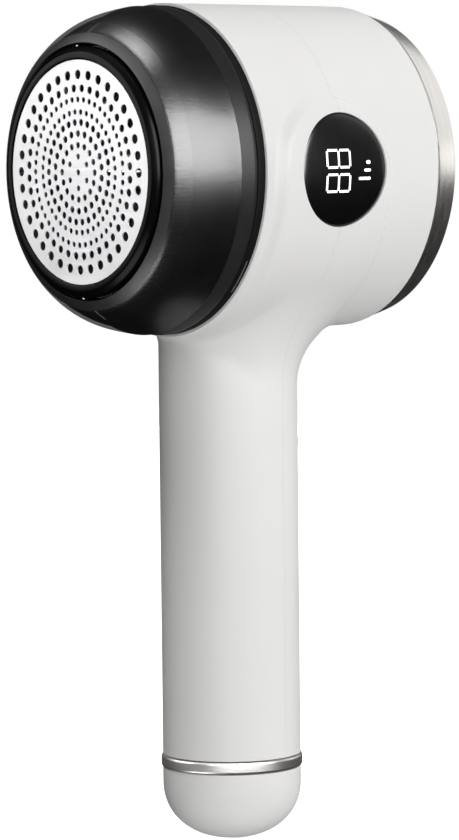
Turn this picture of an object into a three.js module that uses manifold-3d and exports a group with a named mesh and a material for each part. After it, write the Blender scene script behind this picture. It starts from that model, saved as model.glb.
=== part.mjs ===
// Fabric shaver with a round head on a straight handle.
// Millimetres. Y is the axis of the head, with the cutting face towards -Y and the lint bin towards +Y.
// Z is the axis of the handle, which hangs towards -Z. +X is the side with the display.
// The origin is the point where the two axes cross.
import * as THREE from "three";
import { mergeVertices } from "three/addons/utils/BufferGeometryUtils.js";
import Module from "manifold-3d";

const wasm = await Module();
wasm.setup();

// Head
const HEAD_R = 39.3; // at the gasket
const HEAD_REAR_R = 38.7;
const HEAD_FRONT_Y = -19.2;
const HEAD_REAR_Y = 33.3;
const HEAD_WALL = 2.2;
const BULKHEAD = 2.0;
const BULKHEAD_HOLE_R = 28.2;
const SEAM_GAP = 0.3; // between the two housing halves
const SEAM_Y = 3.6;
const SCREWS = [[24.2, 24.2], [-24.2, 24.2], [24.2, -24.2], [-24.2, -24.2]]; // x and z of the housing screws

// Handle
const HANDLE_R = 16.6;
const HANDLE_WALL = 2.0;
const HANDLE_TOP_Z = -20;
const HANDLE_END_Z = -140.2;
const BAND_Z = [-143.5, -140.5];
const CAP_TOP_Z = -143.8;
const CAP_END_Z = -161;
const NECK_FILLET = 13;
const NECK_FRONT_FILLET = 2.2; // where the handle meets the front of the head

// Strap and display
const STRAP_HALF = 17.1;
const STRAP_Y = 1.1;
const STRAP_R = 40.2; // from the head's axis to the strap's face
const LENS_R = 13.2;
const LENS_Y = 3.4;
const LENS_FACE_R = 40.4;

// Cutting face
const FOIL_R = 26.4;
const FOIL_Y = [-43.3, -42.8];
const FOIL_HOLES = [[9, 8], [18.5, 16]]; // radius of each ring of holes, and how many
const BLADES = 6;
const BLADE_TIP_R = 24.4;

// Motor and cell
const MOTOR_R = 12.2;
const MOTOR_Y = [-14, 12];
const SHAFT_R = 1.5;
const CELL_R = 9.2;
const CELL_Z = [-137, -72];

// Lint bin
const BIN_R = 34.4;
const BIN_Y = [15, 32.2];
const LINER_R = [35.2, 36.8];
const REAR_Y = 40.9;

const WHITE = { color: 0xe9e8e4, roughness: 0.35, metalness: 0 };
const BLACK = { color: 0x0b0b0c, roughness: 0.3, metalness: 0 };
const GREY = { color: 0x47484b, roughness: 0.45, metalness: 0 };
const NATURAL = { color: 0xd6d3ca, roughness: 0.5, metalness: 0 };
const RUBBER = { color: 0x1a1a1b, roughness: 0.8, metalness: 0 };
const STEEL = { color: 0xc9ccd0, roughness: 0.3, metalness: 1 };
const BRIGHT = { color: 0xb9bbbe, roughness: 0.25, metalness: 1 };
const BRASS = { color: 0xc29a4e, roughness: 0.35, metalness: 1 };
const COPPER = { color: 0xb5683c, roughness: 0.35, metalness: 1 };
const BOARD = { color: 0x1d5c37, roughness: 0.5, metalness: 0 };
const RED = { color: 0xb3201c, roughness: 0.5, metalness: 0 };
const BLUE = { color: 0x2a5fa8, roughness: 0.45, metalness: 0 };

const shaver = new THREE.Group();
shaver.name = "fabric_shaver";

// A three.js geometry as a manifold-3d solid that faces outwards.
function solid(geometry) {
  const flat = geometry.index ? geometry.toNonIndexed() : geometry;
  const bare = new THREE.BufferGeometry();
  bare.setAttribute("position", flat.getAttribute("position"));
  const merged = mergeVertices(bare, 1e-4);
  const vertProperties = new Float32Array(merged.attributes.position.array);
  const corners = Array.from(merged.index.array);
  const kept = [];
  for (let i = 0; i < corners.length; i += 3) {
    const [a, b, c] = corners.slice(i, i + 3);
    if (a !== b && b !== c && c !== a) kept.push([a, b, c]);
  }
  const build = (faces) =>
    new wasm.Manifold(new wasm.Mesh({ numProp: 3, vertProperties, triVerts: new Uint32Array(faces.flat()) }));
  const made = build(kept);
  return made.volume() > 0 ? made : build(kept.map(([a, b, c]) => [a, c, b]));
}

// Puts a solid in the assembly as one named mesh.
function add(name, body, look) {
  const { numProp, vertProperties, triVerts } = body.getMesh();
  const positions = new Float32Array(triVerts.length * 3);
  triVerts.forEach((vertex, i) => {
    positions.set(vertProperties.subarray(vertex * numProp, vertex * numProp + 3), i * 3);
  });
  const geometry = new THREE.BufferGeometry();
  geometry.setAttribute("position", new THREE.BufferAttribute(positions, 3));
  geometry.computeVertexNormals();
  const mesh = new THREE.Mesh(geometry, new THREE.MeshStandardMaterial(look));
  mesh.name = name;
  shaver.add(mesh);
}

// Turns a section of [radius, y] points round the head's axis.
function turnedY(section, sides = 36) {
  const onAxis = section[0][0] === 0 && section.at(-1)[0] === 0;
  const points = (onAxis ? section : [...section, section[0]]).map(([r, y]) => new THREE.Vector2(r, y));
  return solid(new THREE.LatheGeometry(points, sides));
}

// Turns a section of [radius, z] points round the handle's axis.
function turnedZ(section, sides = 24) {
  return turnedY(section, sides).rotate([90, 0, 0]);
}

function tubeY(inner, outer, y0, y1, sides = 36) {
  return turnedY([[inner, y0], [outer, y0], [outer, y1], [inner, y1]], sides);
}

function rodY(radius, y0, y1, sides = 20, x = 0, z = 0) {
  return turnedY([[0, y0], [radius, y0], [radius, y1], [0, y1]], sides).translate([x, 0, z]);
}

function rodZ(radius, z0, z1, sides = 24) {
  return turnedZ([[0, z0], [radius, z0], [radius, z1], [0, z1]], sides);
}

function rodX(radius, x0, x1, y, z, sides = 28) {
  return rodY(radius, x0, x1, sides).rotate([0, 0, -90]).translate([0, y, z]);
}

function block(x0, x1, y0, y1, z0, z1) {
  const box = new THREE.BoxGeometry(x1 - x0, y1 - y0, z1 - z0);
  box.translate((x0 + x1) / 2, (y0 + y1) / 2, (z0 + z1) / 2);
  return solid(box);
}

// Repeats a solid round the head's axis and joins the copies.
function roundY(body, count, start = 0) {
  const copies = [];
  for (let i = 0; i < count; i += 1) copies.push(body.rotate([0, start + (360 / count) * i, 0]));
  return copies.reduce((all, one) => all.add(one));
}

// The flare between handle and head: in each plane through the handle's axis, an arc that touches the handle's side
// and the underside of the head. Its radius is full at the sides and the rear and fades towards the front.
function neck(handleR, headR, wall) {
  const SIDES = 24;
  const STEPS = 4;
  const rings = [];
  for (let i = 0; i < SIDES; i += 1) {
    const turn = (2 * Math.PI * i) / SIDES;
    const across = Math.cos(turn);
    const under = (s) => -Math.sqrt(Math.max(headR ** 2 - (s * across) ** 2, 0));
    const share = THREE.MathUtils.smoothstep(HANDLE_R * Math.sin(turn), -HANDLE_R, -2);
    const fillet = wall + NECK_FRONT_FILLET + (NECK_FILLET - NECK_FRONT_FILLET) * share;
    const centre = handleR + fillet;
    const nearest = (z) => {
      let best = [Infinity, 0];
      for (let s = handleR; s < Math.min(headR, centre + fillet); s += 0.1) {
        const gap = Math.hypot(s - centre, under(s) - z);
        if (gap < best[0]) best = [gap, s];
      }
      return best;
    };
    let low = -headR - fillet - 5;
    let high = under(centre);
    for (let step = 0; step < 30; step += 1) {
      const middle = (low + high) / 2;
      if (nearest(middle)[0] > fillet) low = middle;
      else high = middle;
    }
    const touch = nearest(low)[1];
    const end = Math.atan2(under(touch) - low, touch - centre);
    const profile = [[handleR - 1, low - 1]];
    for (let step = 0; step <= STEPS; step += 1) {
      const angle = Math.PI + ((end - Math.PI) * step) / STEPS;
      profile.push([centre + fillet * Math.cos(angle), low + fillet * Math.sin(angle)]);
    }
    profile.push([touch - 1, under(touch) + 4]);
    rings.push(profile.map(([s, z]) => new THREE.Vector3(s * Math.cos(turn), s * Math.sin(turn), z)));
  }
  const positions = [];
  const face = (...corners) => corners.forEach((p) => positions.push(p.x, p.y, p.z));
  const foot = new THREE.Vector3(0, 0, -headR - NECK_FILLET - wall);
  const crown = new THREE.Vector3(0, 0, -15);
  rings.forEach((ring, i) => {
    const next = rings[(i + 1) % SIDES];
    face(foot, next[0], ring[0]);
    face(crown, ring.at(-1), next.at(-1));
    for (let k = 0; k < ring.length - 1; k += 1) {
      face(ring[k], next[k], next[k + 1]);
      face(ring[k], next[k + 1], ring[k + 1]);
    }
  });
  const geometry = new THREE.BufferGeometry();
  geometry.setAttribute("position", new THREE.Float32BufferAttribute(positions, 3));
  return solid(geometry);
}

// White housing: head, neck, handle and strap as one hollow form, cut into a front and a rear half.
function housing() {
  const slab = (y0, y1) => block(-60, 60, y0, y1, -200, 60);
  const outerHead = turnedY(
    [[0, HEAD_FRONT_Y], [HEAD_R, HEAD_FRONT_Y], [HEAD_REAR_R, HEAD_REAR_Y], [0, HEAD_REAR_Y]], 40);
  const innerR = HEAD_R - HEAD_WALL;
  const frontInside = HEAD_FRONT_Y + BULKHEAD;
  const innerHead = turnedY(
    [[0, frontInside], [innerR, frontInside], [innerR, HEAD_REAR_Y + 1], [0, HEAD_REAR_Y + 1]], 40);
  const boreR = HANDLE_R - HANDLE_WALL;
  const strapTop = rodX(STRAP_HALF, 0, 45, STRAP_Y, 0);
  const strapRun = block(0, 45, STRAP_Y - STRAP_HALF, STRAP_Y + STRAP_HALF, -36, 0);
  const strap = strapTop.add(strapRun).intersect(rodY(STRAP_R, -30, 30, 40));
  const bosses = SCREWS.map(([x, z]) => rodY(3, -8, 8, 12, x, z));
  const hollow = innerHead
    .add(rodZ(boreR, HANDLE_END_Z - 1, HANDLE_TOP_Z))
    .add(neck(boreR, innerR, HANDLE_WALL).intersect(slab(frontInside, HEAD_REAR_Y - 2)));
  return outerHead
    .add(rodZ(HANDLE_R, HANDLE_END_Z, HANDLE_TOP_Z))
    .add(neck(HANDLE_R, HEAD_R, 0).intersect(slab(HEAD_FRONT_Y, HEAD_REAR_Y)))
    .add(strap)
    .subtract(hollow)
    .add(bosses.reduce((all, one) => all.add(one)).intersect(outerHead))
    .subtract(rodY(BULKHEAD_HOLE_R, HEAD_FRONT_Y - 1, HEAD_FRONT_Y + 5, 36))
    .subtract(rodX(LENS_R + 0.3, 30, 45, LENS_Y, 0));
}

const whole = SCREWS.reduce((body, [x, z]) => body.subtract(rodY(1.3, -7, 9, 12, x, z)), housing());
const buttonHole = rodY(5.8, 5, 25, 16, 0, -66);
add("front_housing", whole.intersect(block(-60, 60, -60, SEAM_Y - SEAM_GAP / 2, -200, 60)), WHITE);
const rearSide = block(-60, 60, SEAM_Y + SEAM_GAP / 2, 60, -200, 60);
add("rear_housing", whole.intersect(rearSide).subtract(buttonHole), WHITE);
SCREWS.forEach(([x, z], i) => {
  const screw = rodY(1.2, -6.5, 8.3, 12, x, z).add(rodY(2.1, 8.3, 10, 12, x, z));
  add(`housing_screw_${i + 1}`, screw, STEEL);
});

// Rings between the guard and the head
add("guard_gasket", tubeY(29.3, 38.7, -21.4, -19.5), RUBBER);
add("guard_base_ring", turnedY([
  [29.3, -27.6], [36.4, -27.6], [36.4, -26.1], [38.2, -26.1], [38.7, -25.0], [38.7, -21.7], [29.3, -21.7],
]), GREY);
add("rear_trim_ring", turnedY([
  [LINER_R[0], HEAD_REAR_Y + 0.3], [38.4, HEAD_REAR_Y + 0.3], [36.5, REAR_Y], [LINER_R[0], REAR_Y],
]), BRIGHT);

// Guard: a shell with a rounded shoulder that leaves a round window for the foil
add("guard_shell", turnedY([
  [29.7, -42.3], [32.0, -41.9], [34.1, -39.2], [36.0, -36.0], [37.4, -32.5], [38.2, -29.0], [38.7, -26.4],
  [37.0, -26.4], [36.6, -29.2], [35.8, -32.0], [34.4, -35.4], [32.6, -38.4], [31.0, -40.6], [29.7, -40.9],
]), { ...BLACK, transparent: true, opacity: 0.6 });

// Grip ring that locks the foil, ribbed on the outside, with a flange that bears on the base ring
const gripRib = block(28.2, 29.2, -40.9, -32.8, -0.8, 0.8);
add("grip_ring", turnedY([
  [27.8, -41.0], [28.5, -41.0], [28.5, -29.4], [31.9, -29.4], [31.9, -27.9], [29.0, -27.9], [29.0, -23.2],
  [27.8, -23.2],
]).add(roundY(gripRib, 24)), BLACK);

// Foil cartridge
const foilHole = rodY(1.2, FOIL_Y[0] - 1, FOIL_Y[1] + 1, 6);
const foilHoles = FOIL_HOLES.map(([r, count]) => roundY(foilHole.translate([r, 0, 0]), count));
const foilBlank = rodY(FOIL_R, FOIL_Y[0], FOIL_Y[1], 36);
add("foil_screen", foilHoles.reduce((left, holes) => left.subtract(holes), foilBlank), STEEL);
add("foil_frame", turnedY([
  [26.1, -43.9], [27.5, -44.0], [28.8, -43.5], [29.3, -42.6], [29.3, -41.3], [27.5, -41.3], [27.5, -37.4],
  [26.8, -37.4], [26.8, -43.6], [26.1, -43.6],
], 36), BLACK);
add("foil_retainer", tubeY(25.3, 26.4, -42.5, -37.4), GREY);

// Cutter chamber: a cup behind the foil, with windows that lead lint back past the motor
const lintWindow = block(9, 22, -27, -23, -4.5, 4.5);
add("cutter_chamber", turnedY([
  [4.6, -26.0], [24.8, -26.0], [24.8, -36.9], [26.0, -36.9], [26.0, -24.4], [27.5, -24.4], [27.5, -17.6],
  [26.2, -17.6], [26.2, -22.9], [24.8, -24.4], [4.6, -24.4],
]).subtract(roundY(lintWindow, 4)), GREY);

// Cutter: six steel blades stood in a moulded hub that floats on the shaft against a spring
const bladeSlot = block(6.6, BLADE_TIP_R + 0.3, -42, -37.6, -0.6, 0.6);
const hubArm = block(4, BLADE_TIP_R - 0.6, -40.4, -36.6, -1.9, 1.9);
const hubBody = rodY(6, -41.2, -34.6, 20).add(roundY(hubArm, BLADES)).subtract(roundY(bladeSlot, BLADES));
add("cutter_hub", hubBody.subtract(rodY(SHAFT_R + 0.08, -50, -30, 16)), GREY);
const bladeShape = block(6.9, BLADE_TIP_R, -42.6, -38.0, -0.3, 0.3);
for (let i = 0; i < BLADES; i += 1) {
  add(`cutter_blade_${i + 1}`, bladeShape.rotate([0, (360 / BLADES) * i, 0]), STEEL);
}
add("cutter_spring", tubeY(2.2, 3.6, -34.3, -30.3, 16), STEEL);

// Rotor: shaft with a spring collar, core with five slots, commutator and suction impeller
add("drive_shaft", turnedY([
  [0, -41.8], [SHAFT_R, -41.4], [SHAFT_R, -30], [4, -30], [4, -28.8], [SHAFT_R, -28.8], [SHAFT_R, 13.2],
  [0, 13.2],
], 16), STEEL);
const coreSlot = block(5, 11, -12, 4, -1.1, 1.1);
add("rotor_core", tubeY(SHAFT_R + 0.3, 9.2, -9.5, 2.5, 20).subtract(roundY(coreSlot, 5, 36)), COPPER);
add("commutator", tubeY(SHAFT_R + 0.3, 3.4, 3.2, 8.2, 10), BRASS);
const impellerVane = block(4, 19, -22.6, -19.6, -0.5, 0.5);
add("impeller", tubeY(SHAFT_R + 0.3, 19.6, -19.8, -18.4, 24)
  .add(tubeY(SHAFT_R + 0.3, 4.6, -22.6, -19.6, 20)).add(roundY(impellerVane, 6)), NATURAL);

// Motor
add("motor_can", turnedY([
  [5.2, MOTOR_Y[0]], [MOTOR_R, MOTOR_Y[0]], [MOTOR_R, MOTOR_Y[1] - 2], [MOTOR_R - 1, MOTOR_Y[1] - 2],
  [MOTOR_R - 1, MOTOR_Y[0] + 1.2], [5.2, MOTOR_Y[0] + 1.2],
], 24).subtract(roundY(rodY(1.1, -20, -10, 8, 8.4, 0), 2)), BRIGHT);
add("motor_end_bell", tubeY(4.2, MOTOR_R, MOTOR_Y[1] - 1.7, MOTOR_Y[1], 24), BLACK);
add("front_bearing", tubeY(SHAFT_R + 0.08, 4.9, -14.0, -11.6, 16), BRASS);
add("rear_bearing", tubeY(SHAFT_R + 0.08, 3.9, 9.8, 12.2, 16), BRASS);
const magnetArc = tubeY(9.6, 10.8, -11.5, 4, 24);
[1, -1].forEach((side, i) => {
  const half = block(side > 0 ? 4.5 : -12, side > 0 ? 12 : -4.5, -12, 5, -12, 12);
  add(`motor_magnet_${i + 1}`, magnetArc.intersect(half), GREY);
});
const airWindow = block(15, 33, -18, -13, -7, 7);
add("motor_bracket", tubeY(5.2, 36.7, -16.8, -14.3)
  .subtract(roundY(airWindow, 4, 45)).subtract(roundY(rodY(1.5, -18, -13, 8, 8.4, 0), 2)), GREY);
[8.4, -8.4].forEach((x, i) => {
  add(`motor_screw_${i + 1}`, rodY(1.0, -17.2, -12.2, 8, x, 0).add(rodY(2.2, -18.0, -17.1, 8, x, 0)), STEEL);
});

// Lint bin and its bay
add("bin_bay_liner", tubeY(LINER_R[0], LINER_R[1], 13.4, HEAD_REAR_Y), NATURAL);
add("bin_cup", turnedY([
  [BIN_R - 1.3, BIN_Y[0]], [BIN_R, BIN_Y[0]], [BIN_R, BIN_Y[1]], [14, BIN_Y[1]], [14, BIN_Y[1] - 1.3],
  [BIN_R - 1.3, BIN_Y[1] - 1.3],
]), NATURAL);
add("bin_filter", rodY(17, BIN_Y[1] - 2.2, BIN_Y[1] - 1.6, 24), WHITE);
add("bin_seal", turnedY([[BIN_R + 0.2, 17], [35.0, 17.3], [35.0, 19.7], [BIN_R + 0.2, 20]]), RUBBER);
const pull = rodY(15, REAR_Y - 5.2, REAR_Y + 1, 24).subtract(block(-20, 20, 30, 50, -2.6, 2.6));
const vent = block(18.5, 31, 30, 50, -0.9, 0.9);
add("bin_cap", rodY(34.8, BIN_Y[1] + 0.3, REAR_Y - 0.3, 36)
  .subtract(turnedY([[16.4, 30], [32.6, 30], [32.6, REAR_Y - 2.3], [16.4, REAR_Y - 2.3]]))
  .subtract(pull).subtract(roundY(vent, 8, 22.5)), WHITE);

// Display
add("display_lens", rodX(LENS_R, 30, 45, LENS_Y, 0).intersect(tubeY(37.6, LENS_FACE_R, -20, 20, 40)), BLACK);
add("display_carrier", rodX(15, 30, 45, LENS_Y, 0).subtract(rodX(10.8, 20, 50, LENS_Y, 0))
  .intersect(rodY(36.6, -13.5, 13.1, 40)).subtract(block(-60, 32.5, -20, 20, -20, 20)), BLACK);
add("display_board", rodX(10.3, 33.2, 34.4, LENS_Y, 0, 20), BOARD);

// Handle: cell in its cradle, main board, switch and button
const cellTip = rodZ(3, CELL_Z[1] - 2, CELL_Z[1], 12);
add("battery_cell", rodZ(CELL_R, CELL_Z[0], CELL_Z[1] - 1.5, 20).add(cellTip), BLUE);
const cradle = turnedZ([[9.6, -138.8], [11.2, -138.8], [11.2, -70], [9.6, -70]], 20);
add("battery_cradle", cradle.intersect(block(-20, 20, -20, -2, -150, -60)).add(
  block(-8, 8, -10.4, -6, -138.8, -137.4)), NATURAL);
add("main_board", block(-7, 7, 10.9, 12.1, -128, -58), BOARD);
add("power_switch", block(-3, 3, 12.4, 13.4, -69, -63).add(rodY(1.3, 13, 14.1, 10, 0, -66)), GREY);
add("button_cap", turnedY([
  [0, 15.1], [1.6, 15.1], [1.6, 15.8], [5.4, 15.8], [5.4, 17.0], [4.4, 17.6], [0, 17.8],
], 16).translate([0, 0, -66]), WHITE);

// Foot of the handle: silver band, domed cap and the charging socket in its mouth
add("handle_trim_ring", turnedZ([
  [14.6, BAND_Z[0]], [17.0, BAND_Z[0]], [17.0, BAND_Z[1]], [14.6, BAND_Z[1]],
]), BRIGHT);
const dome = [[0, CAP_END_Z], [6, -160.6], [10.5, -158.8], [13.8, -155.8], [15.8, -151.8], [16.6, -147.5]];
const domeInside = [
  [0, -158.6], [5.4, -158.4], [9.2, -157], [12, -154.6], [13.2, -151], [13.2, -133], [0, -133],
];
const capBlank = turnedZ([...dome, [16.6, CAP_TOP_Z], [14.3, CAP_TOP_Z], [14.3, -139.9], [0, -139.9]]);
const socketMouth = block(-4.9, 4.9, -2.0, 2.0, -170, -150);
add("end_cap", capBlank.subtract(turnedZ(domeInside)).subtract(socketMouth), WHITE);
add("usb_socket", block(-4.5, 4.5, -1.65, 1.65, -160.4, -152.6).subtract(
  block(-4.15, 4.15, -1.3, 1.3, -161, -154)).add(block(-3.3, 3.3, -0.35, 0.35, -159.6, -153)), BRIGHT);

// Motor leads, from the board up past the lint bin's bay to the motor's end bell
function lead(points) {
  const path = new THREE.CatmullRomCurve3(points.map((p) => new THREE.Vector3(...p)));
  const wire = new THREE.Shape();
  wire.absarc(0, 0, 0.6, 0, 2 * Math.PI);
  const sweep = { extrudePath: path, steps: 9, curveSegments: 3, bevelEnabled: false };
  return solid(new THREE.ExtrudeGeometry(wire, sweep));
}
[[1, "motor_lead_red", RED], [-1, "motor_lead_black", BLACK]].forEach(([side, name, look]) => {
  add(name, lead([
    [side * 3, 11.4, -57.4], [side * 3.4, 11.6, -48], [side * 4.5, 12.2, -34], [side * 6.2, 13.4, -18],
    [side * 6.8, 13.5, -9], [side * 6.4, 12.7, -3],
  ]), look);
});

export default shaver;
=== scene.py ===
import math

import bmesh
import bpy
import numpy as np
from mathutils import Matrix, Vector


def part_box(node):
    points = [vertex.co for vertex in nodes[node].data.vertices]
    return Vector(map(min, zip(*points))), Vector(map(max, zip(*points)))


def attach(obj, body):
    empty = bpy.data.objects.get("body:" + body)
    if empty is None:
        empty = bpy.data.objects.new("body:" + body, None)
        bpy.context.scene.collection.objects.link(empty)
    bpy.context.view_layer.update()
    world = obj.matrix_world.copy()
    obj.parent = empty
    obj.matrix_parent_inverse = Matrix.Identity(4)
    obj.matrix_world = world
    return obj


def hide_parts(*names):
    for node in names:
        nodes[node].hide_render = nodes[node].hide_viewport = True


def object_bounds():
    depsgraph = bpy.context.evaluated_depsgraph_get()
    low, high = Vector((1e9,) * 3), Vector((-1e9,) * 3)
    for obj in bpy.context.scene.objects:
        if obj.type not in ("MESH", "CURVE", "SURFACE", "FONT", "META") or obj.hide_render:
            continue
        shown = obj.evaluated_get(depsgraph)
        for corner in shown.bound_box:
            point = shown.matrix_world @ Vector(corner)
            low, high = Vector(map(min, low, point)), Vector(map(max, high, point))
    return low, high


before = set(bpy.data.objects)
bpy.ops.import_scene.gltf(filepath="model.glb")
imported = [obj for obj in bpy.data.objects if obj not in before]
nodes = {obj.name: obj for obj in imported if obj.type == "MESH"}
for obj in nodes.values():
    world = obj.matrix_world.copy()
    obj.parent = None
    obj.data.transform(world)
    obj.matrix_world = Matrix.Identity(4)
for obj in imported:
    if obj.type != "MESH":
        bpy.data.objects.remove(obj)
cad_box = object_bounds()


# Housing halves: two thin shells of white ABS, injection moulded and polished, that clamp round the rest.
# They meet on a fine seam just behind the handle's middle, and a low strap under the display flows down into
# the grip.
head_radius = 0.0393
head_rear_radius = 0.0387
head_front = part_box("guard_gasket")[1].y + 0.0002
head_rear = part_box("rear_trim_ring")[0].y - 0.0002
grip_radius = 0.0166
grip_top = -0.012
grip_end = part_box("handle_trim_ring")[1].z + 0.0002
neck_fillet = 0.013
neck_front_fillet = 0.0022
neck_fillet_spread = 0.0146
strap_centre = 0.0011
strap_half_width = 0.0167
strap_flare = 0.0006
strap_flare_length = 0.018
strap_radius = 0.0412
strap_sink_start = -0.014
strap_sink_length = 0.032
strap_sink_depth = 0.0019
strap_edge_radius = 0.0018
strap_edge_loss = 0.0014
edge_groove_reach = 0.0169
edge_groove_radius = 0.00018
edge_groove_step = 0.0006
shell_thickness = 0.0019
seam_place = 0.0036
seam_half_gap = 0.00003
lens_centre = 0.0034
lens_pocket_radius = 13.32
button_height = -0.066


def rounded_join(a, b, radius):
    """Distance to two forms joined by a fillet of that radius."""
    fillet = np.hypot(np.maximum(radius - a, 0), np.maximum(radius - b, 0))
    return np.maximum(radius, np.minimum(a, b)) - fillet


def rounded_cut(a, b, radius):
    """Distance to what two forms share, with the edge between them rounded."""
    return -rounded_join(-a, -b, radius)


def body_distance(points):
    """Distance from each point to the outside of the white body: head, strap, neck and grip in one skin."""
    x, y, z = points[..., 0], points[..., 1], points[..., 2]
    from_head_axis = np.hypot(x, z)
    taper = np.clip((y - head_front) / (head_rear - head_front), 0, 1)
    head = from_head_axis - (head_radius + (head_rear_radius - head_radius) * taper)
    outline = np.where(z > 0, np.hypot(y - strap_centre, z), np.abs(y - strap_centre)) - strap_half_width
    outline = outline - strap_flare * np.clip(-z / strap_flare_length, 0, 1)
    sink = np.clip((y - strap_sink_start) / strap_sink_length, 0, 1)
    face = from_head_axis - strap_radius + strap_sink_depth * sink
    edge = strap_edge_radius - strap_edge_loss * sink
    strap = rounded_cut(outline, np.maximum(face, -x), edge)
    grip = np.maximum(np.hypot(x, y) - grip_radius, z - grip_top)
    share = np.clip((y + grip_radius) / neck_fillet_spread, 0, 1)
    fillet = neck_front_fillet + (neck_fillet - neck_front_fillet) * share**2 * (3 - 2 * share)
    return rounded_join(rounded_join(head, strap, edge), grip, fillet)


def pull_to_skin(points, distance, steps):
    """Slides points along the slope of the distance until they lie on the skin."""
    for _ in range(steps):
        slope = np.empty_like(points)
        for axis in range(3):
            nudge = np.zeros(3)
            nudge[axis] = 2e-5
            slope[:, axis] = (distance(points + nudge) - distance(points - nudge)) / 4e-5
        size = np.maximum((slope**2).sum(1, keepdims=True), 0.2)
        points = points - slope * distance(points)[:, None] / size
    return points


def skin(distance, low, high, step):
    """Closed quad skin of a form given by its distance: one corner in each grid cell the skin crosses."""
    low = np.array(low)
    counts = np.ceil((np.array(high) - low) / step).astype(int) + 1
    axes = [low[i] + step * np.arange(counts[i]) for i in range(3)]
    inside = np.concatenate(
        [distance(np.stack(np.meshgrid(axes[0][i : i + 8], axes[1], axes[2], indexing="ij"), -1)) < 0
         for i in range(0, counts[0], 8)]
    )
    filled = sum(
        inside[i : i + counts[0] - 1, j : j + counts[1] - 1, k : k + counts[2] - 1].astype(np.int8)
        for i in (0, 1) for j in (0, 1) for k in (0, 1)
    )
    crossed = (filled > 0) & (filled < 8)
    number = np.full(crossed.shape, -1)
    number[crossed] = np.arange(crossed.sum())
    points = low + step * (np.argwhere(crossed) + 0.5)
    quads = []
    for axis in range(3):
        one, two = (axis + 1) % 3, (axis + 2) % 3
        turned_grid = np.moveaxis(inside, (axis, one, two), (0, 1, 2))
        cells = np.moveaxis(number, (axis, one, two), (0, 1, 2))
        here, beyond = turned_grid[:-1, 1:-1, 1:-1], turned_grid[1:, 1:-1, 1:-1]
        ring = np.stack([cells[:, :-1, :-1], cells[:, 1:, :-1], cells[:, 1:, 1:], cells[:, :-1, 1:]], -1)
        quads.append(ring[here & ~beyond])
        quads.append(ring[~here & beyond][:, ::-1])
    quads = np.concatenate(quads)
    points = pull_to_skin(points, distance, 4)
    for _ in range(3):
        total, share = np.zeros_like(points), np.zeros(len(points))
        for a, b in ((0, 1), (1, 2), (2, 3), (3, 0)):
            np.add.at(total, quads[:, a], points[quads[:, b]])
            np.add.at(total, quads[:, b], points[quads[:, a]])
            np.add.at(share, quads[:, a], 1)
            np.add.at(share, quads[:, b], 1)
        points = pull_to_skin(points + 0.6 * (total / share[:, None] - points), distance, 2)
    return points, quads


def new_piece(name, points, faces, crease=35):
    """A mesh object with smooth shading that breaks at creases sharper than that angle."""
    mesh = bpy.data.meshes.new(name)
    mesh.from_pydata([tuple(p) for p in np.asarray(points, float)], [], [tuple(map(int, f)) for f in faces])
    mesh.validate()
    piece = bpy.data.objects.new(name, mesh)
    bpy.context.scene.collection.objects.link(piece)
    smooth(piece, crease)
    return piece


def smooth(piece, crease=35):
    """Shades a piece smooth, with hard edges only at real creases."""
    piece.data.polygons.foreach_set("use_smooth", [True] * len(piece.data.polygons))
    piece.data.set_sharp_from_angle(angle=math.radians(crease))


def edit(piece, change):
    """Opens a piece's mesh, makes one change and closes it."""
    work = bmesh.new()
    work.from_mesh(piece.data)
    change(work)
    work.to_mesh(piece.data)
    work.free()
    piece.data.update()


def keep_side(piece, point, outward):
    """Cuts a mesh with a plane and throws away what lies beyond it."""
    def cut(work):
        everything = work.verts[:] + work.edges[:] + work.faces[:]
        bmesh.ops.bisect_plane(
            work, geom=everything, dist=1e-7, plane_co=point, plane_no=outward, clear_outer=True)
        bmesh.ops.remove_doubles(work, verts=work.verts[:], dist=0.00006)
    edit(piece, cut)


def fix_shape(piece):
    """Applies a piece's modifiers to its mesh."""
    bpy.context.view_layer.update()
    shaped = bpy.data.meshes.new_from_object(piece.evaluated_get(bpy.context.evaluated_depsgraph_get()))
    piece.modifiers.clear()
    piece.data = shaped


def carve(piece, *tools):
    """Cuts the shapes of the tools out of a piece and removes the tools."""
    for tool in tools:
        cut = piece.modifiers.new("cut", "BOOLEAN")
        cut.operation = "DIFFERENCE"
        cut.solver = "EXACT"
        cut.object = tool
    fix_shape(piece)
    for tool in tools:
        bpy.data.objects.remove(tool)


def rounded_outline(corners, steps=4):
    """Closed outline from (a, b, radius) corners, each rounded off."""
    outline = []
    for i, (a, b, radius) in enumerate(corners):
        here = Vector((a, b))
        before = Vector(corners[i - 1][:2]) - here
        after = Vector(corners[(i + 1) % len(corners)][:2]) - here
        if radius == 0 or before.length < 1e-7 or after.length < 1e-7:
            outline.append(here)
            continue
        reach = radius / max(math.tan(before.angle(after) / 2), 0.05)
        reach = min(reach, 0.48 * before.length, 0.48 * after.length)
        start, end = here + before.normalized() * reach, here + after.normalized() * reach
        for k in range(steps + 1):
            t = k / steps
            outline.append((1 - t) ** 2 * start + 2 * t * (1 - t) * here + t**2 * end)
    return outline


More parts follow.
